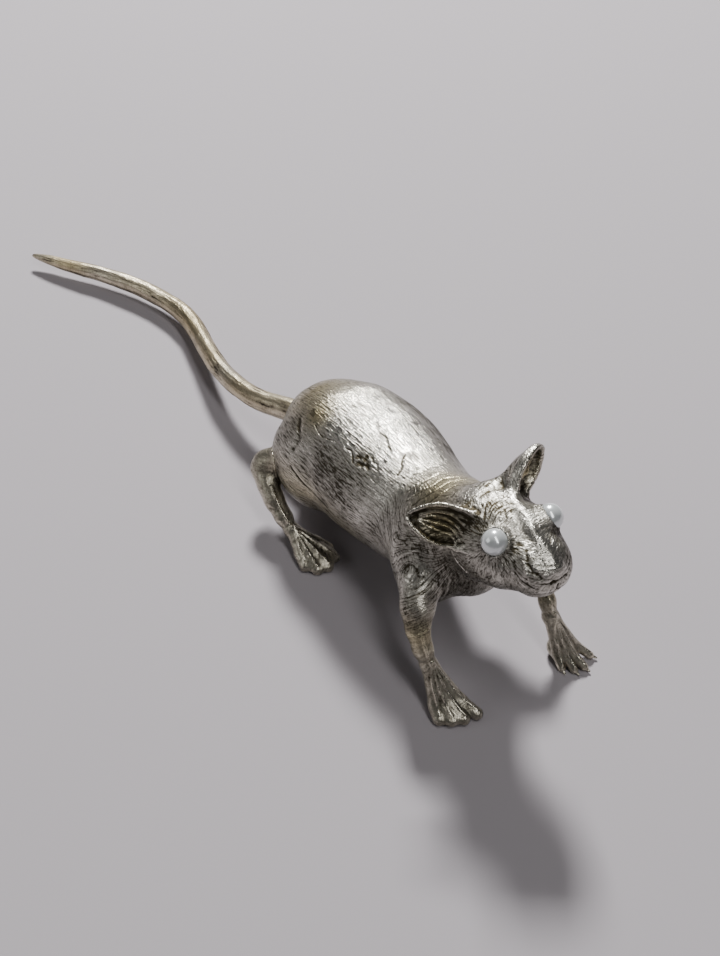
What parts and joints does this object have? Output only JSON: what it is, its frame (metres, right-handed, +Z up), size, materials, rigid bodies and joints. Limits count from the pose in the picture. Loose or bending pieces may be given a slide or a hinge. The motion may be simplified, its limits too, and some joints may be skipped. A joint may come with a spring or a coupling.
{
  "type": "mouse figurine",
  "caption": "Life-size cast metal mouse standing on all fours with its head raised, pearl eyes set in sockets and a long curved tail held off the floor; a rigid ornament or paperweight.",
  "frame": {"origin": "on the floor, under the middle of the box around the whole mouse", "axes": "+X towards the nose, +Y to the mouse's left, +Z up"},
  "size_m": [0.215, 0.0451, 0.059],
  "materials": {
    "body_metal": "silver toned cast bronze, dark patina in the engraved fur, polished high spots",
    "leg_metal": "olive grey patinated cast bronze with bright tendon ridges",
    "tail_metal": "pale brassy satin with dark lengthwise streaks",
    "pearl": "white pearl lustre",
    "post_metal": "plain drawn wire"
  },
  "bodies": {
    "root": {"torso_shell": "body_metal", "head_shell": "body_metal", "belly_plug": "body_metal", "leg_front_left": "leg_metal", "leg_front_right": "leg_metal", "leg_hind_left": "leg_metal", "leg_hind_right": "leg_metal", "tail": "tail_metal", "eye_pearl_left": "pearl", "eye_pearl_right": "pearl", "eye_post_left": "post_metal", "eye_post_right": "post_metal"}
  },
  "joints": []
}
